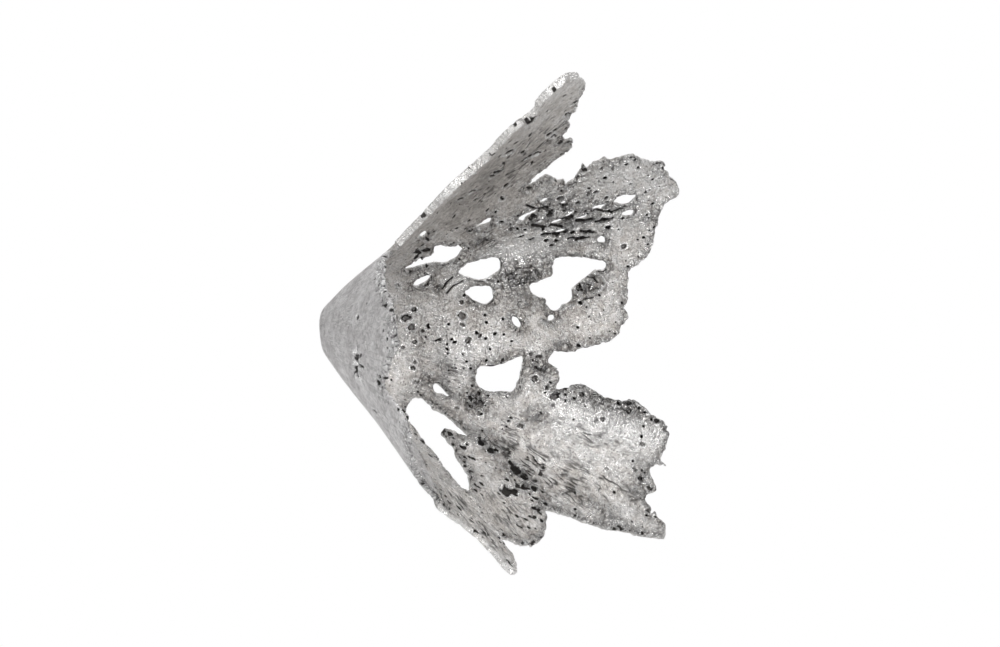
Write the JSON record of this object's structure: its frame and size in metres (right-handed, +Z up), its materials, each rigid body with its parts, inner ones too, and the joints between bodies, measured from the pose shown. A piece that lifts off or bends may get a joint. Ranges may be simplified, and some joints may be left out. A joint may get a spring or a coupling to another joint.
{
  "type": "wall bowl",
  "caption": "Open petalled funnel of cast metal with a closed rounded nose, ragged pierced petals and a hidden threaded insert, hung from a wall by one screw.",
  "frame": {"origin": "centre of the nose's flat back, at the mouth of the threaded insert, in the wall's plane", "axes": "+Y into the wall along the funnel's axis, -Y out into the room where the funnel opens, +Z up"},
  "size_m": [0.2885, 0.215, 0.3544],
  "materials": {
    "cast_skin": "as cast, fine matt skin",
    "cast_petal": "as cast, pitted, darker in the pits",
    "insert": "turned, slightly dull"
  },
  "bodies": {
    "root": {"nose_cup": "cast_skin", "lower_front_petal": "cast_petal", "lower_inner_petal": "cast_petal", "lower_rear_petal": "cast_petal", "middle_rear_petal": "cast_petal", "rear_bridge": "cast_petal", "upper_rear_petal": "cast_petal", "upper_side_petal": "cast_petal", "top_petal": "cast_petal", "wall_insert": "insert"}
  },
  "joints": []
}
